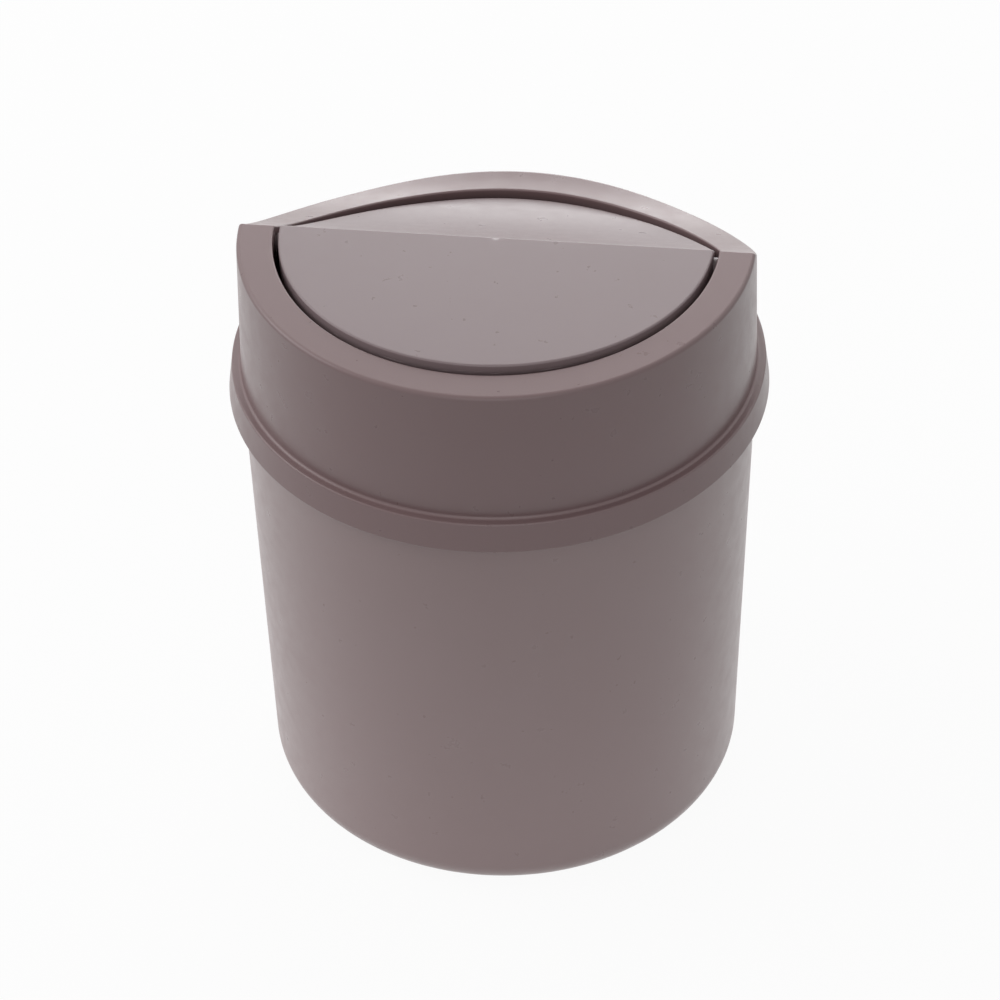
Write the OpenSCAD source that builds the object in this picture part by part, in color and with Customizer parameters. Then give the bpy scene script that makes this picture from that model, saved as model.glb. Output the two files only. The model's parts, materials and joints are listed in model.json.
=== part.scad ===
// Countertop trash can with a swing lid, in millimetres.
// A tapered bucket stands on a foot ring. A hood drops over the bucket's rim, and a round flap swings
// in the hood's opening on two stub axles under the ridge. +Z is up, the front faces -Y, and the origin
// is the centre of the foot ring on the table.

/* [Bucket] */
// Radius that the side wall would reach at the table without its rounded corner
base_r = 68; // [60:0.5:76]
// Height of the rim above the table
bucket_h = 141.1; // [100:0.1:200]
// Outward taper of the side wall, in degrees
bucket_draft = 1.4; // [0.5:0.1:1.6]
// Thickness of the side wall
bucket_wall = 1.8; // [1.2:0.1:2.4]
// Thickness of the floor
floor_t = 2; // [1.4:0.1:3]
// Outer radius of the corner between the side wall and the base
corner_r = 8.8; // [6:0.2:14]
// Radial width of the flat ring that the bucket stands on
foot_w = 5; // [3:0.5:10]
// Height by which the middle of the base is raised off the table
base_lift = 1.6; // [0.8:0.1:3]
// Radius of the injection point's mark under the base
gate_r = 1.6; // [1:0.1:3]
// Height of the injection point's mark
gate_h = 0.4; // [0.2:0.1:0.6]
// Thickness of the rim's outward flange
rim_t = 1.6; // [1:0.1:2.4]
// Reach of the flange beyond the side wall
rim_reach = 0.65; // [0.3:0.05:1.5]

/* [Hood] */
// Height of the lip
lip_h = 8.85; // [7:0.05:14]
// Outward flare of the lip towards its foot, in degrees from upright
lip_flare = 7.8; // [0:0.1:12]
// Thickness of the lip and of the ledge over the rim
lip_wall = 1.6; // [1.2:0.1:2.2]
// Radius of the lip's upper outer edge
lip_edge_r = 0.5; // [0.3:0.1:0.8]
// Width of the ledge between the lip's upper edge and the wall
ledge_w = 2.5; // [1.8:0.05:4]
// Radius of the crease between the ledge and the wall
crease_r = 0.8; // [0.4:0.1:1.1]
// Height of the ridge and the flat front roof above the rim of the bucket
ridge_rise = 41.5; // [38:0.1:60]
// Distance of the ridge in front of the bin's axis
ridge_forward = 1.6; // [0:0.1:3]
// Inward taper of the wall, in degrees
hood_draft = 1.5; // [1:0.1:3.4]
// Thickness of the wall
hood_wall = 1.8; // [1.2:0.1:2.2]
// Thickness of the roof, measured square to it
roof_t = 2; // [1.4:0.1:2.6]
// Slope of the hollow back roof where it leaves the ridge, in degrees
back_slope = 38.2; // [30:0.1:41]
// Radius of the back roof's hollow beside the ridge
back_r = 156; // [142:1:200]
// Radius of the back roof's tighter hollow towards the back wall
back_far_r = 70; // [66:1:120]
// Distance behind the axis where the one hollow runs into the other
back_join = 50; // [46:1:56]
// Width of the roof between the wall and the round opening
brim_w = 9.8; // [9:0.1:16]
// Thickness of the collar round the opening
collar_t = 1.6; // [1:0.1:2]
// Depth of the collar below the roof's surface
collar_depth = 5.5; // [4:0.5:8]
// Thickness of the two bearing tabs, measured outward from the opening
tab_t = 3; // [2:0.1:3.6]
// Width of a bearing tab
tab_w = 9; // [7.5:0.5:14]

/* [Flap] */
// Gap all round between the flap and the opening
flap_gap = 1.5; // [1.3:0.1:2.5]
// Thickness of the flap's skin, measured square to it
flap_t = 2; // [1.4:0.1:2.4]
// Depth of the turned-down front rim below the flap's surface
front_rim_depth = 6.1; // [4:0.1:8]
// Depth of the back rim below the flap's surface
back_rim_depth = 4; // [3:0.1:4.5]
// Distance by which the back rim stands in from the flap's edge
back_rim_inset = 1.2; // [1:0.1:5]
// Thickness of the flap's rims
flap_rim_t = 1.6; // [1:0.1:2]
// Depth of the hinge axis below the ridge
pivot_drop = 7; // [6.6:0.1:8]
// Radius of the stub axles
axle_r = 2; // [1.5:0.1:2.4]
// Radius of the bosses that carry the stub axles
boss_r = 3.6; // [3.2:0.1:4]
// Length of a boss inward from the flap's edge
boss_l = 9; // [5:0.5:16]
// Tilt of the flap at rest, front edge up, in degrees
rest_tilt = 1.6; // [0:0.1:3]

/* [Fits] */
// Radial clearance between a stub axle and its bearing hole
axle_clearance = 0.08; // [0.03:0.01:0.1]
// Radial gap between the bucket's rim and the inside of the lip
rim_clearance = 0.3; // [0.2:0.05:0.6]
// End gap between a flap's shoulder and the opening
shoulder_gap = 0.3; // [0.2:0.05:0.6]
// Length of stub axle that shows past its bearing
axle_end = 0.8; // [0.4:0.1:1.5]

/* [Hidden] */
$fn = 96;
fine_fn = 48;
taupe = [0.60, 0.53, 0.51];
taupe_flap = [0.66, 0.59, 0.57];
far = 100;

// Heights
ledge_z = bucket_h;
lip_top_z = ledge_z + lip_wall;
lip_bottom_z = lip_top_z - lip_h;
ridge_z = bucket_h + ridge_rise;
pivot_z = ridge_z - pivot_drop;

// Radii
foot_outer_r = base_r + corner_r * tan(bucket_draft) - corner_r / cos(bucket_draft);
foot_inner_r = foot_outer_r - foot_w;
rim_r = base_r + bucket_h * tan(bucket_draft) + rim_reach;
seat_r = rim_r + rim_clearance;
shoulder_r = seat_r + lip_wall / cos(lip_flare) - lip_wall * tan(lip_flare);
lip_r = shoulder_r + lip_h * tan(lip_flare);
crown_r = shoulder_r - ledge_w - (ridge_z - lip_top_z) * tan(hood_draft);
opening_r = crown_r - brim_w;
flap_r = opening_r - flap_gap;
tab_outer_r = opening_r + tab_t;
axle_hole_r = axle_r + axle_clearance;

// Centre of the hollow beside the ridge, square to the slope at the ridge
hollow_y = back_r * sin(back_slope) - ridge_forward;
hollow_z = ridge_z + back_r * cos(back_slope);

// Slope and height of the back roof where the hollows meet, and the centre of the far hollow,
// which lies on the line from there to the first centre
join_slope = asin((hollow_y - back_join) / back_r);
join_z = hollow_z - back_r * cos(join_slope);
far_hollow_y = back_join + back_far_r * sin(join_slope);
far_hollow_z = join_z + back_far_r * cos(join_slope);

// Outer radius of the bucket's side wall at height z
function bucket_r(z) = base_r + z * tan(bucket_draft);

// Outer radius of the hood's wall at height z
function hood_r(z) = crown_r + (ridge_z - z) * tan(hood_draft);

// Region of the bucket's half section that lies at least `inset` inside its outer surface,
// above the height `bottom`
module bucket_region(inset, bottom) {
    round_r = corner_r - inset;
    side = [cos(bucket_draft), -sin(bucket_draft)];
    touch = [foot_outer_r, corner_r] + round_r * side;
    top_r = bucket_r(bucket_h) - inset / cos(bucket_draft);
    difference() {
        union() {
            polygon([
                [0, corner_r - round_r],
                [foot_outer_r, corner_r - round_r],
                [foot_outer_r, corner_r],
                touch,
                [top_r, bucket_h],
                [0, bucket_h]
            ]);
            translate([foot_outer_r, corner_r])
                circle(r = round_r);
        }
        translate([0, bottom - far])
            square([far, far]);
    }
}

// Raised middle of the base in half section, lifted by `rise` over the foot ring
module base_recess(rise, edge_r) {
    polygon([[0, rise - base_lift], [edge_r, rise - base_lift], [edge_r - base_lift, rise], [0, rise]]);
}

// Outward flange round the bucket's mouth in half section, with a rounded edge
module rim_flange() {
    wall_r = bucket_r(bucket_h) - bucket_wall / 2;
    translate([wall_r, bucket_h - rim_t])
        square([rim_r - rim_t / 2 - wall_r, rim_t]);
    translate([rim_r - rim_t / 2, bucket_h - rim_t / 2])
        circle(r = rim_t / 2, $fn = fine_fn);
}

module bucket() {
    color(taupe) {
        rotate_extrude() {
            difference() {
                bucket_region(0, 0);
                difference() {
                    bucket_region(bucket_wall, floor_t);
                    base_recess(base_lift + floor_t, foot_inner_r + floor_t * tan(45 / 2));
                }
                base_recess(base_lift, foot_inner_r);
            }
            rim_flange();
        }
        translate([0, 0, base_lift - gate_h])
            cylinder(r = gate_r, h = gate_h + floor_t / 2);
    }
}

// One hollow of the back roof in side view: a disc, kept before (side = -1) or behind (side = 1)
// the line through both centres
module hollow(centre, radius, side) {
    intersection() {
        translate(centre)
            circle(r = radius, $fn = 4 * $fn);
        translate([back_join, join_z])
            rotate(-join_slope)
                translate([side < 0 ? -2 * far : 0, -far])
                    square([2 * far, 3 * far]);
    }
}

// Side view of the space under the roof, at least `depth` below its surface:
// a flat front and a hollow back that meet in the ridge
module under_roof(depth) {
    difference() {
        translate([-far, 0])
            square([2 * far, ridge_z - depth]);
        hollow([hollow_y, hollow_z], back_r + depth, -1);
        hollow([far_hollow_y, far_hollow_z], back_far_r + depth, 1);
    }
}

// The same space as a solid, as wide as the whole part
module under_roof_solid(depth) {
    rotate([90, 0, 90])
        translate([0, 0, -far])
            linear_extrude(height = 2 * far)
                under_roof(depth);
}

// The skin between the roof's surface and a surface `depth` below it
module roof_layer(depth) {
    difference() {
        under_roof_solid(0);
        under_roof_solid(depth);
    }
}

// Upright tube of the given radii that reaches past the roof
module tube(outer_r, inner_r) {
    difference() {
        cylinder(r = outer_r, h = ridge_z + far);
        translate([0, 0, -1])
            cylinder(r = inner_r, h = ridge_z + far + 2);
    }
}

// Outer half section of the hood: flared lip, ledge with its crease, and tapered wall
module hood_outline() {
    edge_reach = lip_edge_r / tan((90 + lip_flare) / 2);
    edge = [shoulder_r - edge_reach, lip_top_z - lip_edge_r];
    foot = [hood_r(lip_top_z), lip_top_z];
    crease_reach = crease_r / tan((90 + hood_draft) / 2);
    crease = foot + [crease_reach, crease_r];
    polygon([
        [0, lip_bottom_z],
        [lip_r, lip_bottom_z],
        [shoulder_r + edge_reach * sin(lip_flare), lip_top_z - edge_reach * cos(lip_flare)],
        edge,
        [edge[0], lip_top_z],
        [0, lip_top_z]
    ]);
    translate(edge)
        circle(r = lip_edge_r, $fn = fine_fn);
    difference() {
        polygon([
            foot,
            foot + [crease_reach, 0],
            crease,
            foot + crease_reach * [-sin(hood_draft), cos(hood_draft)]
        ]);
        translate(crease)
            circle(r = crease_r, $fn = fine_fn);
    }
    polygon([[0, lip_top_z], foot, [hood_r(ridge_z + 1), ridge_z + 1], [0, ridge_z + 1]]);
}

// Inner half section of the hood: the seat for the bucket's rim and the inside of the wall
module hood_inside() {
    wall = hood_wall / cos(hood_draft);
    seat_h = ledge_z - lip_bottom_z + 1;
    polygon([
        [0, ledge_z - seat_h],
        [seat_r + seat_h * tan(lip_flare), ledge_z - seat_h],
        [seat_r, ledge_z],
        [0, ledge_z]
    ]);
    polygon([
        [0, ledge_z - 1],
        [hood_r(ledge_z - 1) - wall, ledge_z - 1],
        [hood_r(ridge_z + 1) - wall, ridge_z + 1],
        [0, ridge_z + 1]
    ]);
}

// A plate across the hinge axis with a round lower end, from the roof down past the axis
module bearing_plate(width) {
    rotate([90, 0, 90])
        translate([0, pivot_z, -far])
            linear_extrude(height = 2 * far) {
                circle(r = width / 2);
                translate([-width / 2, 0])
                    square([width, far]);
            }
}

module hood() {
    color(taupe)
        difference() {
            intersection() {
                under_roof_solid(0);
                union() {
                    difference() {
                        rotate_extrude()
                            hood_outline();
                        intersection() {
                            rotate_extrude()
                                hood_inside();
                            under_roof_solid(roof_t);
                        }
                    }
                    intersection() {
                        tube(opening_r + collar_t, opening_r);
                        roof_layer(collar_depth);
                    }
                    intersection() {
                        tube(tab_outer_r, opening_r);
                        bearing_plate(tab_w);
                    }
                }
            }
            translate([0, 0, ridge_z - far])
                cylinder(r = opening_r, h = 2 * far);
            translate([0, 0, pivot_z])
                rotate([0, 90, 0])
                    cylinder(r = axle_hole_r, h = 2 * tab_outer_r, center = true);
        }
}

// One half of a rim under the flap: the front half for side = -1 and the back half for side = 1
module flap_rim(side, outer_r, depth) {
    intersection() {
        tube(outer_r, outer_r - flap_rim_t);
        roof_layer(depth);
        translate([-far, side < 0 ? -far : 0, 0])
            cube([2 * far, far, ridge_z + far]);
    }
}

// Boss, shoulder and stub axle at the right-hand end of the hinge axis
module stub_axle() {
    translate([0, 0, pivot_z])
        rotate([0, 90, 0]) {
            translate([0, 0, flap_r - boss_l])
                cylinder(r = boss_r, h = boss_l - flap_gap);
            translate([0, 0, flap_r - flap_gap - 1])
                cylinder(r = (boss_r + axle_r) / 2, h = 1 + 2 * flap_gap - shoulder_gap);
            translate([0, 0, flap_r - flap_gap - 1])
                cylinder(r = axle_r, h = 1 + 2 * flap_gap + tab_t + axle_end);
        }
}

module swing_flap() {
    color(taupe_flap)
        translate([0, 0, pivot_z])
            rotate([-rest_tilt, 0, 0])
                translate([0, 0, -pivot_z]) {
                    intersection() {
                        cylinder(r = flap_r, h = ridge_z + far);
                        roof_layer(flap_t);
                    }
                    flap_rim(-1, flap_r, front_rim_depth);
                    flap_rim(1, flap_r - back_rim_inset, back_rim_depth);
                    stub_axle();
                    mirror([1, 0, 0])
                        stub_axle();
                }
}

bucket();
hood();
swing_flap();
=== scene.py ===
"""Countertop trash can with a lift-off hood and a swinging flap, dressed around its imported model.

Sizes are in millimetres and angles in degrees, unless a name says otherwise. Meshes are in metres.
"""

import json
import logging
import math
from dataclasses import dataclass, field
from enum import Enum

import bpy
import numpy as np
from mathutils import Matrix, Vector


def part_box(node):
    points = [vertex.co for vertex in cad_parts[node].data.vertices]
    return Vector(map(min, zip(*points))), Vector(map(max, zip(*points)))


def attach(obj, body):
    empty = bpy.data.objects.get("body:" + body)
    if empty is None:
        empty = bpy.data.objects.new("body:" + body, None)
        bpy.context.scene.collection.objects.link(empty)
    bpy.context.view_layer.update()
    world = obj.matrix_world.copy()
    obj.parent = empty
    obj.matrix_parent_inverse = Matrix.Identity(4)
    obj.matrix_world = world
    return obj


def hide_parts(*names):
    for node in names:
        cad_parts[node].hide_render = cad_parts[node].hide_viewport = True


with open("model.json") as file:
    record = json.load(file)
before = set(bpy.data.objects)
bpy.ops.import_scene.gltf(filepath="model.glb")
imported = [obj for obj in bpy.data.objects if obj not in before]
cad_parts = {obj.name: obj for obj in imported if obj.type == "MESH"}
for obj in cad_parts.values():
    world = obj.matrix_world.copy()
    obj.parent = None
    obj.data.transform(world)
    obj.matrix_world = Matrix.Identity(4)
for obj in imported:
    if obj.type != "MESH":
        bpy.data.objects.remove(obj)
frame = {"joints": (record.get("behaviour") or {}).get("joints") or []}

Array = np.ndarray
METRES_PER_MM = 0.001
SAME_PLACE_MM = 1e-4
ARC_STEPS_BASE = 4
ARC_STEPS_PER_MM = 2.2
ARC_STEPS_MOST = 18
SPARE_SHARE = 0.4
log = logging.getLogger("trash_can")


class Side(Enum):
    """End of the hinge axis, as the sign of its x."""

    LEFT = -1
    RIGHT = 1


class SectionEnd(Enum):
    """How a section carried round the object ends."""

    CLOSED = "its last point joins its first"
    ON_AXIS = "its first and last points are poles"


# Shapes


def box_mm(node: str) -> tuple[Array, Array]:
    """Return a CAD node's lowest and highest corners in millimetres."""
    low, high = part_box(node)
    return np.array(low) / METRES_PER_MM, np.array(high) / METRES_PER_MM


def unit(vectors: Array) -> Array:
    """Return the vectors along the last axis with a length of 1, and a zero vector as it is."""
    return vectors / np.maximum(np.linalg.norm(vectors, axis=-1, keepdims=True), 1e-9)


def ease(low: float, high: float, value: Array) -> Array:
    """Return a share that rises smoothly from 0 at low to 1 at high, as 3 s squared less 2 s cubed."""
    share = np.clip((value - low) / (high - low), 0.0, 1.0)
    return share * share * (3.0 - 2.0 * share)


def rounded_section(corners: Array, radii: list[float], support: float = 0.15) -> Array:
    """Round the corners of one closed section for each column.

    Where the two edges at a corner open by an angle t, an arc of radius r touches them
    r / tan(t / 2) from the corner and is centred r / sin(t / 2) along their bisector. Its points
    swing from one end radius to the other by sin((1 - s) q) and sin(s q) over sin(q), for a turn q.

    Args:
        corners: Corner points, shaped (columns, corners, 2).
        radii: Radius at each corner, 0 for a point that stays as it is.
        support: Distance from an arc to the extra point that keeps the flat beside it flat.

    Returns:
        Section points, shaped (columns, points, 2).
    """
    to_last = np.roll(corners, 1, axis=1) - corners
    to_next = np.roll(corners, -1, axis=1) - corners
    before, after = unit(to_last), unit(to_next)
    half = 0.5 * np.arccos(np.clip(np.sum(before * after, axis=-1), -1.0, 1.0))
    half = np.clip(half, 1e-3, 0.5 * np.pi - 1e-4)
    reach = np.array(radii) / np.tan(half)
    length = np.linalg.norm(to_next, axis=-1)
    free = length - reach - np.roll(reach, -1, axis=1)
    spare_next = np.clip(SPARE_SHARE * free, 0.0, support)
    spare_last = np.roll(spare_next, 1, axis=1)
    parts = []
    for k, radius in enumerate(radii):
        corner = corners[:, k]
        if radius == 0.0:
            parts.append(corner[:, None])
            continue
        bisector = unit(before[:, k] + after[:, k])
        centre = corner + bisector * (radius / np.sin(half[:, k]))[:, None]
        start = corner + before[:, k] * reach[:, k, None] - centre
        end = corner + after[:, k] * reach[:, k, None] - centre
        turn = (np.pi - 2.0 * half[:, k])[:, None, None]
        steps = min(int(ARC_STEPS_BASE + ARC_STEPS_PER_MM * radius), ARC_STEPS_MOST)
        share = np.linspace(0.0, 1.0, steps + 1)[None, :, None]
        arc = np.sin((1.0 - share) * turn) * start[:, None] + np.sin(share * turn) * end[:, None]
        arc = centre[:, None] + arc / np.sin(turn)
        first = corner + before[:, k] * (reach + spare_last)[:, k, None]
        last = corner + after[:, k] * (reach + spare_next)[:, k, None]
        parts += [first[:, None], arc, last[:, None]]
    return np.concatenate(parts, axis=1)


def drop_repeats(section: Array) -> Array:
    """Drop the points that lie on the one before them in every column."""
    gap = np.linalg.norm(section - np.roll(section, 1, axis=1), axis=-1).max(axis=0)
    return section[:, gap > SAME_PLACE_MM]


def grid_faces(columns: int, rows: int, end: SectionEnd) -> tuple[Array, Array]:
    """Index the faces of a grid that wraps round its columns.

    Args:
        columns: Number of sections round the object.
        rows: Number of points in a section, the poles not counted.
        end: Whether the rows close on themselves or end in two poles, which come last.

    Returns:
        Quads and triangles as rows of point numbers.
    """
    index = np.arange(columns * rows).reshape(columns, rows)
    beside = np.roll(index, -1, axis=0)
    if end is SectionEnd.CLOSED:
        above, above_beside = np.roll(index, -1, axis=1), np.roll(beside, -1, axis=1)
        quads = np.stack([index, beside, above_beside, above], axis=-1).reshape(-1, 4)
        return quads, np.zeros((0, 3), int)
    quads = np.stack([index[:, :-1], beside[:, :-1], beside[:, 1:], index[:, 1:]], axis=-1)
    low = np.full(columns, columns * rows)
    fans = [np.stack([low, beside[:, 0], index[:, 0]], axis=-1)]
    fans.append(np.stack([low + 1, index[:, -1], beside[:, -1]], axis=-1))
    return quads.reshape(-1, 4), np.concatenate(fans)


def closed_piece(name: str, points: Array, end: SectionEnd) -> bpy.types.Object:
    """Make an object of a grid of points, with its faces outward and shaded smooth.

    The faces point outward when the sum of p0 . (p1 x p2) over its triangles, six times its
    volume, is positive. Otherwise each face is turned round.

    Args:
        name: Name of the piece.
        points: Points in millimetres, shaped (columns, rows, 3). With poles, the first and the
            last row hold the same point in every column.
        end: How the rows end.

    Returns:
        The new object, at the origin.
    """
    if end is SectionEnd.ON_AXIS:
        poles = np.stack([points[:, 0].mean(axis=0), points[:, -1].mean(axis=0)])
        points = points[:, 1:-1]
        places = np.concatenate([points.reshape(-1, 3), poles])
    else:
        places = points.reshape(-1, 3)
    quads, fans = grid_faces(points.shape[0], points.shape[1], end)
    halves = np.concatenate([quads[:, [0, 1, 2]], quads[:, [0, 2, 3]], fans])
    first, second, third = (places[halves[:, k]] for k in range(3))
    if np.sum(first * np.cross(second, third)) < 0.0:
        quads, fans = quads[:, ::-1], fans[:, ::-1]
    mesh = bpy.data.meshes.new(name)
    mesh.from_pydata(places * METRES_PER_MM, [], quads.tolist() + fans.tolist())
    mesh.shade_smooth()
    mesh.update()
    piece = bpy.data.objects.new(name, mesh)
    bpy.context.scene.collection.objects.link(piece)
    return piece


@dataclass(frozen=True)
class RoofForm:
    """Surface that the hood and the flap share: a level front and a hollow back that meet in a ridge."""

    ridge_z: float
    ridge_forward: float = 1.6
    back_slope: float = 38.2
    back_r: float = 156.0
    back_far_r: float = 70.0
    back_join: float = 50.0
    ridge_soft: float = 0.2

    def back_height(self, y: Array, depth: Array | float) -> Array:
        """Return the height at y of the back surface, `depth` under the hollows.

        Each hollow is the lower arc of a circle, z = c - sqrt((r + depth)^2 - (y - b)^2). The
        first is square to the slope at the ridge. The second is tighter, and its centre lies on
        the line from the join to the first centre, so that the one runs smoothly into the other.

        Args:
            y: Place from front to back.
            depth: Depth under the hollows, square to them.

        Returns:
            The height.
        """
        slope = math.radians(self.back_slope)
        near_y = self.back_r * math.sin(slope) - self.ridge_forward
        near_z = self.ridge_z + self.back_r * math.cos(slope)
        lean = math.asin((near_y - self.back_join) / self.back_r)
        far_y = self.back_join + self.back_far_r * math.sin(lean)
        far_z = near_z - (self.back_r - self.back_far_r) * math.cos(lean)
        near = (self.back_r + depth) ** 2 - (y - near_y) ** 2
        far = (self.back_far_r + depth) ** 2 - (y - far_y) ** 2
        beyond = y > self.back_join - depth * math.sin(lean)
        root = np.sqrt(np.maximum(np.where(beyond, far, near), 1.0))
        return np.where(beyond, far_z, near_z) - root

    def height(self, y: Array, depth: Array | float = 0.0) -> Array:
        """Return the height at y of the surface that lies `depth` under the roof.

        The lower one of the level front and the hollow back counts. Near the ridge, with a and b
        their heights and w the blend's half width, it is a - (a - b + w)^2 / (4 w).

        Args:
            y: Place from front to back.
            depth: Depth under the roof.

        Returns:
            The height.
        """
        front = self.ridge_z - depth
        lead = front - self.back_height(y, depth)
        blend = (np.clip(lead, -self.ridge_soft, None) + self.ridge_soft) ** 2
        blend = np.where(lead > self.ridge_soft, lead, blend / (4.0 * self.ridge_soft))
        return front - blend


@dataclass(frozen=True)
class RidgeColumns:
    """Upright half planes through the middle of the ridge, two of which hold the ridge itself."""

    ridge_forward: float
    count: int = 384
    ridge_offsets: tuple[float, ...] = (0.04, 0.09, 0.14, 0.2, 0.3, 0.5, 0.8, 1.2)
    clear_of_ridge: float = 1.6

    def angles(self) -> Array:
        """Space the columns evenly, and closer together beside the ridge.

        Returns:
            The columns' angles in radians, in rising order.
        """
        even = np.arange(self.count) * 2.0 * np.pi / self.count
        even = even[np.abs(np.sin(even)) > math.sin(math.radians(self.clear_of_ridge))]
        fine = np.radians(np.array(self.ridge_offsets))
        near = np.concatenate([-fine, [0.0], fine])
        return np.sort(np.concatenate([even, near % (2.0 * np.pi), near + np.pi]))

    def reach(self, radius: Array | float, angle: Array) -> Array:
        """Return how far a column runs from the ridge's middle to a circle round the object's axis.

        For a ridge f in front of the axis it is f sin(u) + sqrt(r^2 - f^2 cos^2(u)).
        """
        shift = self.ridge_forward * np.cos(angle)
        return self.ridge_forward * np.sin(angle) + np.sqrt(np.maximum(radius**2 - shift**2, 0.0))

    def depth_at(self, radius: Array | float, angle: Array) -> Array:
        """Return y where a column meets a circle round the object's axis."""
        return self.reach(radius, angle) * np.sin(angle) - self.ridge_forward

    def carry(self, section: Array, angle: Array) -> Array:
        """Carry sections round the ridge's middle.

        Args:
            section: Section points (radius, height), shaped (columns, points, 2).
            angle: The columns' angles.

        Returns:
            Points shaped (columns, points, 3).
        """
        reach = self.reach(section[..., 0], angle[:, None])
        x = reach * np.cos(angle)[:, None]
        y = reach * np.sin(angle)[:, None] - self.ridge_forward
        return np.stack([x, y, section[..., 1]], axis=-1)


def revolved(section: Array, count: int) -> Array:
    """Turn one section of (radius, height) about the upright axis.

    Args:
        section: Section points, shaped (points, 2).
        count: Number of columns.

    Returns:
        Points (r cos(u), r sin(u), z), shaped (columns, points, 3).
    """
    angle = (np.arange(count) * 2.0 * np.pi / count)[:, None]
    x, y = section[:, 0] * np.cos(angle), section[:, 0] * np.sin(angle)
    return np.stack([x, y, np.broadcast_to(section[:, 1], x.shape)], axis=-1)


# Finishes


@dataclass(frozen=True)
class MouldedPlastic:
    """Satin moulded polypropylene in a warm grey, with faint flow marks and a fine skin."""

    name: str
    colour: tuple[float, float, float]
    warm_colour: tuple[float, float, float]
    roughness: float = 0.32
    roughness_spread: float = 0.05
    ior: float = 1.49
    flow_scale: float = 22.0
    wear_scale: float = 198.0
    noise_span: tuple[float, float] = (0.3, 0.7)
    skin_scale: float = 900.0
    skin_strength: float = 0.35
    skin_height_mm: float = 0.005

    def make(self) -> bpy.types.Material:
        """Build the node material, all of it on Object coordinates.

        Returns:
            The material.
        """
        material = bpy.data.materials.new(self.name)
        material.use_nodes = True
        nodes, links = material.node_tree.nodes, material.node_tree.links
        shader = nodes["Principled BSDF"]
        place = nodes.new("ShaderNodeTexCoord")

        def noise(scale: float, detail: float, roughness: float) -> bpy.types.Node:
            """Add a noise pattern on Object coordinates.

            Args:
                scale: Patches per metre.
                detail: Number of finer layers.
                roughness: Share of the finer layers.

            Returns:
                The noise node.
            """
            node = nodes.new("ShaderNodeTexNoise")
            node.inputs["Scale"].default_value = scale
            node.inputs["Detail"].default_value = detail
            node.inputs["Roughness"].default_value = roughness
            links.new(place.outputs["Object"], node.inputs["Vector"])
            return node

        low, high = self.noise_span
        flow = noise(self.flow_scale, 3.0, 0.5)
        tone = nodes.new("ShaderNodeValToRGB")
        tone.color_ramp.elements[0].position = low
        tone.color_ramp.elements[0].color = (*self.warm_colour, 1.0)
        tone.color_ramp.elements[1].position = high
        tone.color_ramp.elements[1].color = (*self.colour, 1.0)
        links.new(flow.outputs["Fac"], tone.inputs["Fac"])
        links.new(tone.outputs["Color"], shader.inputs["Base Color"])

        wear = noise(self.wear_scale, 4.0, 0.6)
        gloss = nodes.new("ShaderNodeMapRange")
        gloss.inputs["From Min"].default_value = low
        gloss.inputs["From Max"].default_value = high
        gloss.inputs["To Min"].default_value = self.roughness - self.roughness_spread
        gloss.inputs["To Max"].default_value = self.roughness + self.roughness_spread
        links.new(wear.outputs["Fac"], gloss.inputs["Value"])
        links.new(gloss.outputs["Result"], shader.inputs["Roughness"])

        skin = noise(self.skin_scale, 2.0, 0.5)
        relief = nodes.new("ShaderNodeBump")
        relief.inputs["Strength"].default_value = self.skin_strength
        relief.inputs["Distance"].default_value = self.skin_height_mm * METRES_PER_MM
        links.new(skin.outputs["Fac"], relief.inputs["Height"])
        links.new(relief.outputs["Normal"], shader.inputs["Normal"])

        shader.inputs["IOR"].default_value = self.ior
        return material


def dress(piece: bpy.types.Object, material: bpy.types.Material, body: str) -> bpy.types.Object:
    """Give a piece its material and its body.

    Args:
        piece: The finished piece.
        material: Its material.
        body: CAD body that it rides on.

    Returns:
        The piece.
    """
    piece.data.materials.append(material)
    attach(piece, body)
    log.info("%s: %d faces on %s", piece.name, len(piece.data.polygons), body)
    return piece


# Sub-assemblies


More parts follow.
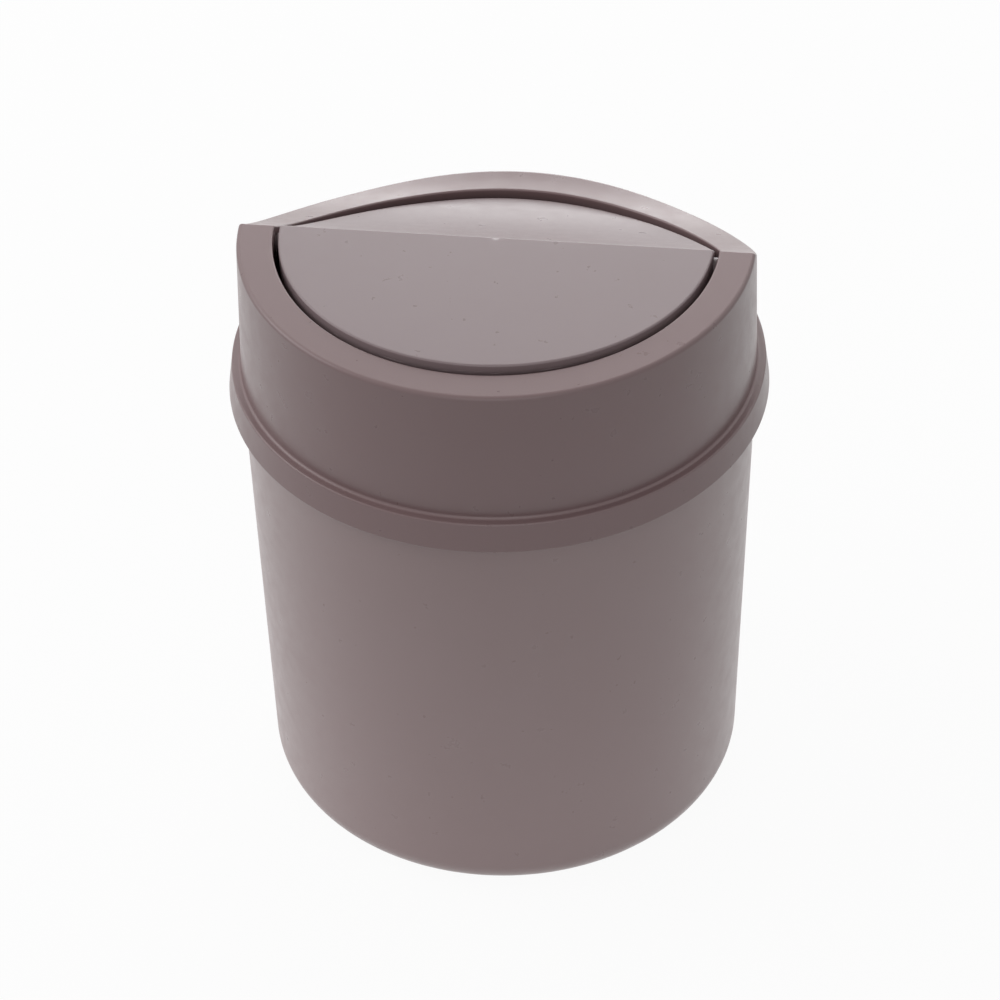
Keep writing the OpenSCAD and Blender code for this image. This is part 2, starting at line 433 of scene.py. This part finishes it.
@dataclass
class Bucket:
    """Tapered round bucket with a rounded bottom corner, a raised base and a rim flange."""

    height: float
    rim_r: float
    base_r: float = 68.0
    draft: float = 1.4
    wall: float = 1.8
    floor: float = 2.0
    corner_r: float = 8.8
    foot_width: float = 5.0
    base_lift: float = 1.6
    gate_r: float = 1.6
    gate_height: float = 0.4
    rim_t: float = 1.6
    columns: int = 384
    # Same plastic as the hood and the flap: the bucket's paler colour is painted light, standing in for
    # light thrown up from the floor.
    material: MouldedPlastic = field(
        default_factory=lambda: MouldedPlastic(
            "bucket_plastic", (0.335, 0.248, 0.250), (0.327, 0.239, 0.240)
        )
    )

    def wall_r(self, z: float) -> float:
        """Return the outer radius of the side wall at height z."""
        return self.base_r + z * math.tan(math.radians(self.draft))

    def section(self) -> Array:
        """Round the corners of the bucket's half section.

        Returns:
            Points (radius, height) from the base's middle round to the floor's middle.
        """
        lean = math.radians(self.draft)
        foot_inner = self.base_r - self.corner_r / math.tan(0.25 * math.pi + 0.5 * lean) - self.foot_width
        floor_edge = foot_inner + self.floor * math.tan(math.pi / 8.0)
        inset = self.wall / math.cos(lean)
        top = self.height
        corners = [
            (0.0, self.base_lift - self.gate_height, 0.0),
            (self.gate_r, self.base_lift - self.gate_height, 0.12),
            (self.gate_r, self.base_lift, 0.15),
            (foot_inner - self.base_lift, self.base_lift, 0.6),
            (foot_inner, 0.0, 0.4),
            (self.base_r, 0.0, self.corner_r),
            (self.wall_r(top - self.rim_t), top - self.rim_t, 0.2),
            (self.rim_r, top - self.rim_t, 0.3),
            (self.rim_r, top, 0.48 * self.rim_t),
            (self.wall_r(top) - inset, top, 0.5),
            (self.wall_r(self.floor) - inset, self.floor, self.corner_r - self.wall),
            (floor_edge, self.floor, 0.6),
            (floor_edge - self.base_lift, self.floor + self.base_lift, 0.6),
            (0.0, self.floor + self.base_lift, 0.0),
        ]
        points = np.array([(r, z) for r, z, _ in corners])[None]
        return drop_repeats(rounded_section(points, [radius for _, _, radius in corners]))[0]

    def build(self) -> None:
        """Build the bucket and dress it."""
        points = revolved(self.section(), self.columns)
        piece = closed_piece("bucket_shell", points, SectionEnd.ON_AXIS)
        dress(piece, self.material.make(), "bucket")
        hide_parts("bucket")


@dataclass
class Hood:
    """Lift-off hood: flared lip, ledge, wall, roof, opening with its collar, and two bearing tabs."""

    roof: RoofForm
    columns: RidgeColumns
    lip_r: float
    lip_bottom: float
    ledge: float
    rim_r: float
    pivot_z: float
    lip_wall: float = 1.6
    lip_flare: float = 7.8
    lip_edge_r: float = 0.5
    lip_foot_r: float = 0.45
    ledge_w: float = 2.5
    crease_r: float = 0.8
    rim_clearance: float = 0.3
    draft: float = 1.5
    wall: float = 1.8
    roof_t: float = 2.0
    brim: float = 9.8
    collar_t: float = 1.6
    collar_depth: float = 5.5
    crown_edge_r: float = 1.1
    opening_edge_r: float = 0.5
    tab_t: float = 3.0
    tab_w: float = 9.0
    hole_r: float = 2.08
    tab_cover: float = 1.0
    tab_columns: int = 96
    meet_rounds: int = 8
    halvings: int = 24
    # Same plastic as the bucket and the flap: the hood's darker colour is painted shade.
    material: MouldedPlastic = field(
        default_factory=lambda: MouldedPlastic(
            "hood_plastic", (0.240, 0.162, 0.165), (0.234, 0.156, 0.158)
        )
    )

    @property
    def lip_top(self) -> float:
        """Return the height of the ledge's upper face."""
        return self.ledge + self.lip_wall

    @property
    def shoulder_r(self) -> float:
        """Return the radius of the lip's upper outer corner."""
        return self.lip_r - (self.lip_top - self.lip_bottom) * math.tan(math.radians(self.lip_flare))

    @property
    def crown_r(self) -> float:
        """Return the wall's outer radius at the ridge."""
        rise = self.roof.ridge_z - self.lip_top
        return self.shoulder_r - self.ledge_w - rise * math.tan(math.radians(self.draft))

    @property
    def opening_r(self) -> float:
        """Return the opening's radius."""
        return self.crown_r - self.brim

    def wall_r(self, z: Array | float) -> Array | float:
        """Return the wall's outer radius at height z."""
        return self.crown_r + (self.roof.ridge_z - z) * math.tan(math.radians(self.draft))

    def meet(self, angle: Array, inset: float, depth: float) -> Array:
        """Find where the wall, moved in by `inset`, meets the surface `depth` under the roof.

        The wall's radius gives y, y gives the roof's height, and the height gives the wall's
        radius again. Each round comes about 30 times closer.

        Args:
            angle: The columns' angles.
            inset: Distance in from the wall's outer surface, level.
            depth: Depth under the roof.

        Returns:
            Points (radius, height), shaped (columns, 2).
        """
        z = np.full(angle.shape, self.roof.ridge_z - depth)
        for _ in range(self.meet_rounds):
            radius = self.wall_r(z) - inset
            z = self.roof.height(self.columns.depth_at(radius, angle), depth)
        return np.stack([radius, z], axis=-1)

    def section(self, angle: Array) -> Array:
        """Round the corners of each column's closed section.

        Args:
            angle: The columns' angles.

        Returns:
            Points (radius, height), from the lip's foot over the roof and back inside, shaped
            (columns, points, 2).
        """
        inset = self.wall / math.cos(math.radians(self.draft))
        crown = self.meet(angle, 0.0, 0.0)
        inner = self.meet(angle, inset, self.roof_t)
        collar_r = self.opening_r + self.collar_t
        seat_r = self.rim_r + self.rim_clearance
        seat_flare = (self.ledge - self.lip_bottom) * math.tan(math.radians(self.lip_flare))

        def fixed(radius: float, z: float) -> Array:
            """Return the same point in every column."""
            return np.broadcast_to([radius, z], (len(angle), 2))

        def on_roof(radius: Array | float, depth: Array | float) -> Array:
            """Return the point at a radius on the surface `depth` under the roof."""
            y = self.columns.depth_at(radius, angle)
            z = self.roof.height(y, depth)
            return np.stack([np.broadcast_to(radius, z.shape), z], axis=-1)

        def brim_point(share: float, depth: float, outer: Array, inner_r: float) -> Array:
            """Return a point part of the way from an outer edge to an inner radius."""
            return on_roof(outer[:, 0] + share * (inner_r - outer[:, 0]), depth)

        away = np.abs(self.columns.depth_at(self.opening_r, angle))
        collar = self.roof_t + 0.3 + (self.collar_depth - self.roof_t - 0.3) * ease(2.5, 3.6, away)
        rows = [
            (fixed(self.lip_r, self.lip_bottom), self.lip_foot_r),
            (fixed(self.shoulder_r, self.lip_top), self.lip_edge_r),
            (fixed(self.wall_r(self.lip_top), self.lip_top), self.crease_r),
            (crown, self.crown_edge_r),
            (brim_point(0.35, 0.0, crown, self.opening_r), 0.0),
            (brim_point(0.55, 0.0, crown, self.opening_r), 0.0),
            (brim_point(0.75, 0.0, crown, self.opening_r), 0.0),
            (on_roof(self.opening_r, 0.0), self.opening_edge_r),
            (on_roof(self.opening_r, collar), 0.35),
            (on_roof(collar_r, collar), 0.35),
            (on_roof(collar_r, self.roof_t), 0.1),
            (brim_point(0.6, self.roof_t, inner, collar_r), 0.0),
            (brim_point(0.3, self.roof_t, inner, collar_r), 0.0),
            (inner, 0.8),
            (fixed(self.wall_r(self.ledge) - inset, self.ledge), 0.4),
            (fixed(seat_r, self.ledge), 0.3),
            (fixed(seat_r + seat_flare, self.lip_bottom), 0.5),
        ]
        corners = np.stack([point for point, _ in rows], axis=1)
        return drop_repeats(rounded_section(corners, [radius for _, radius in rows]))

    def tab_points(self, side: Side) -> Array:
        """Carry a bearing tab's section round its hole.

        Seen along the hinge axis, a ray from the hole's centre leaves the tab at half its width
        on the round lower end. Above the axis it leaves where it meets a side or, found by
        halving, the surface `tab_cover` under the roof. Across the tab, x = sqrt(r^2 - y^2)
        bends it along the opening.

        Args:
            side: End of the hinge axis.

        Returns:
            Points in millimetres, shaped (columns, points, 3).
        """
        angle = np.arange(self.tab_columns) * 2.0 * np.pi / self.tab_columns
        half_width = 0.5 * self.tab_w
        across, up = np.cos(angle), np.sin(angle)
        near = np.full(angle.shape, self.hole_r)
        far = np.minimum(half_width / np.maximum(np.abs(across), 1e-6), 4.0 * half_width)
        for _ in range(self.halvings):
            middle = 0.5 * (near + far)
            under = self.pivot_z + middle * up < self.roof.height(middle * across, self.tab_cover)
            near, far = np.where(under, middle, near), np.where(under, far, middle)
        outline = np.where(up > 0.0, near, half_width)
        inner, outer = self.opening_r + 0.05, self.opening_r + self.tab_t
        ones = np.ones_like(angle)
        corners = np.stack(
            [
                np.stack([self.hole_r * ones, inner * ones], axis=-1),
                np.stack([outline, inner * ones], axis=-1),
                np.stack([outline, outer * ones], axis=-1),
                np.stack([self.hole_r * ones, outer * ones], axis=-1),
            ],
            axis=1,
        )
        section = rounded_section(corners, [0.15, 0.3, 0.3, 0.15])
        y = section[..., 0] * across[:, None]
        z = self.pivot_z + section[..., 0] * up[:, None]
        x = side.value * np.sqrt(section[..., 1] ** 2 - y**2)
        return np.stack([x, y, z], axis=-1)

    def build(self) -> None:
        """Build the hood with its bearing tabs and dress them."""
        angle = self.columns.angles()
        material = self.material.make()
        points = self.columns.carry(self.section(angle), angle)
        shell = closed_piece("hood_shell", points, SectionEnd.CLOSED)
        dress(shell, material, "hood")
        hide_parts("hood")
        for side in Side:
            name = f"bearing_tab_{side.name.lower()}"
            tab = closed_piece(name, self.tab_points(side), SectionEnd.CLOSED)
            dress(tab, material, "hood")
            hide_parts("hood")


@dataclass
class SwingFlap:
    """Round flap that follows both roofs, with turned-down rims, bosses and stub axles."""

    roof: RoofForm
    columns: RidgeColumns
    opening_r: float
    pivot_z: float
    gap: float = 1.5
    skin: float = 2.0
    front_rim_depth: float = 6.1
    back_rim_depth: float = 4.0
    back_rim_inset: float = 1.2
    rim_t: float = 1.6
    edge_r: float = 0.5
    boss_r: float = 3.6
    boss_l: float = 9.0
    axle_r: float = 2.0
    shoulder_gap: float = 0.3
    tab_t: float = 3.0
    axle_end: float = 0.8
    tilt: float = 1.6
    rings: int = 40
    axle_columns: int = 64
    # Same plastic as the bucket and the hood: the flap's colour, paler than the hood's, holds painted
    # light.
    material: MouldedPlastic = field(
        default_factory=lambda: MouldedPlastic(
            "flap_plastic", (0.268, 0.203, 0.212), (0.261, 0.196, 0.204)
        )
    )

    @property
    def radius(self) -> float:
        """Return the flap's outer radius."""
        return self.opening_r - self.gap

    def tilted(self, points: Array) -> Array:
        """Turn points about the hinge axis, front edge up, by the flap's tilt at rest.

        With a tilt t, y becomes y cos(t) + h sin(t), and the height h over the axis becomes
        h cos(t) - y sin(t).

        Args:
            points: Points whose last axis is (x, y, z).

        Returns:
            The turned points, in the same shape.
        """
        turn = math.radians(self.tilt)
        y, rise = points[..., 1], points[..., 2] - self.pivot_z
        turned_y = y * math.cos(turn) + rise * math.sin(turn)
        turned_z = self.pivot_z + rise * math.cos(turn) - y * math.sin(turn)
        return np.stack([points[..., 0], turned_y, turned_z], axis=-1)

    def points(self) -> Array:
        """Carry the flap's section round the ridge's middle.

        Each column runs from the middle of the ridge over the skin to the edge, round the rim,
        and back under the skin. The rings lie at even shares of the column's length, and their
        heights come from the roof. The front rim stands at the edge and the back rim steps in,
        and the two blend beside the hinge axis.

        Returns:
            Points in millimetres, shaped (columns, points, 3).
        """
        angle = self.columns.angles()
        forward = self.columns.ridge_forward
        length = self.columns.reach(self.radius, angle)
        edge_y = self.columns.depth_at(self.radius, angle)
        back = ease(-2.0, 2.0, edge_y)
        rim_depth = self.front_rim_depth + back * (self.back_rim_depth - self.front_rim_depth)
        step_in = back * self.back_rim_inset
        step_depth = self.skin + 0.5 * (1.0 - back)

        def at(run: Array, depth: Array | float) -> Array:
            """Return (run, height) on the surface `depth` under the roof."""
            z = self.roof.height(run * np.sin(angle) - forward, depth)
            return np.stack([run, z], axis=-1)

        shares = np.linspace(0.0, 0.985, self.rings)
        under = length - step_in - self.rim_t
        rows = [(at(length * share, 0.0), 0.0) for share in shares]
        rows += [
            (at(length, 0.0), self.edge_r),
            (at(length, self.skin), 0.25),
            (at(length - step_in, step_depth), 0.1),
            (at(length - step_in, rim_depth), 0.35),
            (at(under, rim_depth), 0.35),
            (at(under, self.skin), 0.3),
        ]
        rows += [(at(under * share, self.skin), 0.0) for share in shares[::-1]]
        corners = np.stack([point for point, _ in rows], axis=1)
        section = drop_repeats(rounded_section(corners, [radius for _, radius in rows]))
        x = section[..., 0] * np.cos(angle)[:, None]
        y = section[..., 0] * np.sin(angle)[:, None] - forward
        return np.stack([x, y, section[..., 1]], axis=-1)

    def axle_points(self, side: Side) -> Array:
        """Turn the section of a boss, its shoulder and its stub axle about the hinge axis.

        Args:
            side: End of the hinge axis.

        Returns:
            Points in millimetres, shaped (columns, points, 3).
        """
        boss_end = self.radius - self.gap
        shoulder_end = self.opening_r - self.shoulder_gap
        axle_tip = self.opening_r + self.tab_t + self.axle_end
        shoulder_r = 0.5 * (self.boss_r + self.axle_r)
        corners = [
            (0.0, self.radius - self.boss_l, 0.0),
            (self.boss_r, self.radius - self.boss_l, 0.4),
            (self.boss_r, boss_end, 0.3),
            (shoulder_r, boss_end, 0.15),
            (shoulder_r, shoulder_end, 0.2),
            (self.axle_r, shoulder_end, 0.15),
            (self.axle_r, axle_tip, 0.35),
            (0.0, axle_tip, 0.0),
        ]
        points = np.array([(r, x) for r, x, _ in corners])[None]
        section = rounded_section(points, [radius for _, _, radius in corners])
        turned = revolved(drop_repeats(section)[0], self.axle_columns)
        return np.stack(
            [side.value * turned[..., 2], turned[..., 0], self.pivot_z + turned[..., 1]], axis=-1
        )

    def build(self) -> None:
        """Build the flap with its stub axles and dress them."""
        material = self.material.make()
        shell = closed_piece("flap_shell", self.tilted(self.points()), SectionEnd.ON_AXIS)
        dress(shell, material, "swing_flap")
        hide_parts("swing_flap")
        for side in Side:
            name = f"stub_axle_{side.name.lower()}"
            axle = closed_piece(name, self.axle_points(side), SectionEnd.ON_AXIS)
            dress(axle, material, "swing_flap")
            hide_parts("swing_flap")


# Studio


@dataclass(frozen=True)
class PhotoCamera:
    """Camera at the photograph's viewing angle."""

    azimuth: float = 7.4051
    elevation: float = 40.851
    roll: float = -1.1789
    distance: float = 1147.044
    target_z: float = 80.0
    lens: float = 144.0
    sensor_width: float = 36.0
    shift_x: float = -0.00225
    shift_y: float = 0.02197

    def build(self) -> None:
        """Place the camera, looking at the target and turned by the roll, and make it the scene's."""
        turn, lift, roll = (math.radians(a) for a in (self.azimuth, self.elevation, self.roll))
        away = Vector(
            (math.sin(turn) * math.cos(lift), -math.cos(turn) * math.cos(lift), math.sin(lift))
        )
        right = Vector((math.cos(turn), math.sin(turn), 0.0))
        up = away.cross(right)
        rolled_right = right * math.cos(roll) + up * math.sin(roll)
        rolled_up = up * math.cos(roll) - right * math.sin(roll)
        place = Matrix((rolled_right, rolled_up, away)).transposed().to_4x4()
        target = Vector((0.0, 0.0, self.target_z))
        place.translation = (target + away * self.distance) * METRES_PER_MM
        lens = bpy.data.cameras.new("photo_camera")
        lens.lens, lens.sensor_width = self.lens, self.sensor_width
        lens.shift_x, lens.shift_y = self.shift_x, self.shift_y
        lens.clip_start, lens.clip_end = 0.05, 50.0
        camera = bpy.data.objects.new("photo_camera", lens)
        camera.matrix_world = place
        bpy.context.scene.collection.objects.link(camera)
        bpy.context.scene.camera = camera


@dataclass(frozen=True)
class SoftBox:
    """Square area lamp that faces the object, placed by its direction."""

    name: str
    azimuth: float
    elevation: float
    power: float
    size: float = 1.2
    distance: float = 1.8
    aim_z: float = 0.1

    def build(self) -> None:
        """Place the lamp. It lights the object but isn't itself in view."""
        turn, lift = math.radians(self.azimuth), math.radians(self.elevation)
        away = Vector(
            (math.sin(turn) * math.cos(lift), -math.cos(turn) * math.cos(lift), math.sin(lift))
        )
        lamp = bpy.data.lights.new(self.name, "AREA")
        lamp.shape, lamp.size, lamp.energy = "SQUARE", self.size, self.power
        holder = bpy.data.objects.new(self.name, lamp)
        holder.location = away * self.distance + Vector((0.0, 0.0, self.aim_z))
        holder.rotation_euler = away.to_track_quat("Z", "Y").to_euler()
        holder.visible_camera = False
        bpy.context.scene.collection.objects.link(holder)


@dataclass(frozen=True)
class Studio:
    """White floor, white surroundings and soft lamps, most of them behind and beside the object."""

    floor_half: float = 12.0
    floor_white: float = 0.85
    # Distances in metres over which the floor's painted pool of light fades from pale to dark.
    painted_light_pool: tuple[float, float] = (0.18, 0.50)
    floor_glow: float = 0.94
    ambient: float = 0.36
    lamps: tuple[SoftBox, ...] = (
        SoftBox("back_lamp", 180.0, 18.0, 13.0),
        SoftBox("left_lamp", -90.0, 32.0, 10.3),
        SoftBox("left_back_lamp", -130.0, 40.0, 4.0),
        SoftBox("right_back_lamp", 130.0, 40.0, 1.9),
        SoftBox("front_lamp", 5.0, 25.0, 4.1),
    )

    def floor(self) -> None:
        """Lay the floor, a flat grid of four corners."""
        reach = self.floor_half * np.array([(-1, -1, 0), (1, -1, 0), (1, 1, 0), (-1, 1, 0)])
        mesh = bpy.data.meshes.new("floor")
        mesh.from_pydata(reach, [], [(0, 1, 2, 3)])
        floor = bpy.data.objects.new("floor", mesh)
        bpy.context.scene.collection.objects.link(floor)
        mesh.materials.append(self.floor_material())

    def floor_material(self) -> bpy.types.Material:
        """Build the floor's paint.

        To the camera it is mostly plain white, and to reflections wholly so. For the light that it
        throws back, it carries a painted pool of light, pale close to the object and darker with
        distance.

        Returns:
            The material.
        """
        material = bpy.data.materials.new("studio_floor")
        material.use_nodes = True
        nodes, links = material.node_tree.nodes, material.node_tree.links
        nodes.clear()
        path = nodes.new("ShaderNodeLightPath")

        def math_node(operation: str, first: bpy.types.NodeSocket) -> bpy.types.Node:
            """Add a maths node that starts from a socket.

            Args:
                operation: The node's operation.
                first: Socket that feeds its first input.

            Returns:
                The node.
            """
            node = nodes.new("ShaderNodeMath")
            node.operation = operation
            links.new(first, node.inputs[0])
            return node

        place = nodes.new("ShaderNodeTexCoord")
        away = nodes.new("ShaderNodeVectorMath")
        away.operation = "LENGTH"
        links.new(place.outputs["Object"], away.inputs[0])
        # Painted pool of light: for bounced light, the floor is pale near the object and darker with
        # distance.
        painted_light_pool = nodes.new("ShaderNodeMapRange")
        painted_light_pool.interpolation_type = "SMOOTHSTEP"
        painted_light_pool.inputs["From Min"].default_value, painted_light_pool.inputs["From Max"].default_value = self.painted_light_pool
        painted_light_pool.inputs["To Min"].default_value = self.floor_white
        painted_light_pool.inputs["To Max"].default_value = 0.0
        links.new(away.outputs["Value"], painted_light_pool.inputs["Value"])
        seen = math_node("MULTIPLY", path.outputs["Is Camera Ray"])
        seen.inputs[1].default_value = self.floor_white
        tone = math_node("MAXIMUM", painted_light_pool.outputs["Result"])
        links.new(seen.outputs["Value"], tone.inputs[1])
        paint = nodes.new("ShaderNodeBsdfDiffuse")
        links.new(tone.outputs["Value"], paint.inputs["Color"])

        glow = math_node("MULTIPLY", path.outputs["Is Camera Ray"])
        glow.inputs[1].default_value = self.floor_glow
        mirrored = math_node("ADD", path.outputs["Is Glossy Ray"])
        links.new(path.outputs["Is Transmission Ray"], mirrored.inputs[1])
        share = math_node("ADD", glow.outputs["Value"])
        share.use_clamp = True
        links.new(mirrored.outputs["Value"], share.inputs[1])
        white = nodes.new("ShaderNodeEmission")
        white.inputs["Color"].default_value = (1.0, 1.0, 1.0, 1.0)
        mix = nodes.new("ShaderNodeMixShader")
        output = nodes.new("ShaderNodeOutputMaterial")
        links.new(share.outputs["Value"], mix.inputs["Fac"])
        links.new(paint.outputs["BSDF"], mix.inputs[1])
        links.new(white.outputs["Emission"], mix.inputs[2])
        links.new(mix.outputs["Shader"], output.inputs["Surface"])
        return material

    def surroundings(self) -> None:
        """Set the world: plain white to the camera and to reflections, weaker as even light."""
        world = bpy.data.worlds.new("studio_world")
        world.use_nodes = True
        nodes, links = world.node_tree.nodes, world.node_tree.links
        backdrop = nodes["Background"]
        backdrop.inputs["Color"].default_value = (1.0, 1.0, 1.0, 1.0)
        path = nodes.new("ShaderNodeLightPath")
        seen = path.outputs["Is Camera Ray"]
        for kind in ("Is Glossy Ray", "Is Transmission Ray"):
            either = nodes.new("ShaderNodeMath")
            either.operation = "MAXIMUM"
            links.new(seen, either.inputs[0])
            links.new(path.outputs[kind], either.inputs[1])
            seen = either.outputs["Value"]
        strength = nodes.new("ShaderNodeMapRange")
        strength.inputs["To Min"].default_value = self.ambient
        strength.inputs["To Max"].default_value = 1.0
        links.new(seen, strength.inputs["Value"])
        links.new(strength.outputs["Result"], backdrop.inputs["Strength"])
        bpy.context.scene.world = world

    def build(self) -> None:
        """Build the floor, the surroundings and the lamps."""
        self.floor()
        self.surroundings()
        for lamp in self.lamps:
            lamp.build()
        bpy.context.scene.view_settings.view_transform = "Standard"


def main() -> None:
    """Build the camera, the studio and the three mouldings."""
    logging.basicConfig(level=logging.INFO, format="%(message)s")
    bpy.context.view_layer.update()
    PhotoCamera().build()
    Studio().build()

    bucket_high = box_mm("bucket")[1]
    hood_low, hood_high = box_mm("hood")
    hinge = next(j for j in frame["joints"] if j["name"] == "flap_swing")
    pivot_z = hinge["pos_m"][2] / METRES_PER_MM
    roof = RoofForm(ridge_z=float(hood_high[2]))
    columns = RidgeColumns(roof.ridge_forward)
    ledge = float(bucket_high[2])
    Bucket(height=ledge, rim_r=float(bucket_high[0])).build()
    hood = Hood(
        roof=roof,
        columns=columns,
        lip_r=float(hood_high[0]),
        lip_bottom=float(hood_low[2]),
        ledge=ledge,
        rim_r=float(bucket_high[0]),
        pivot_z=pivot_z,
    )
    hood.build()
    SwingFlap(roof=roof, columns=columns, opening_r=hood.opening_r, pivot_z=pivot_z).build()

    bpy.context.view_layer.update()


if __name__ == "__main__":
    main()
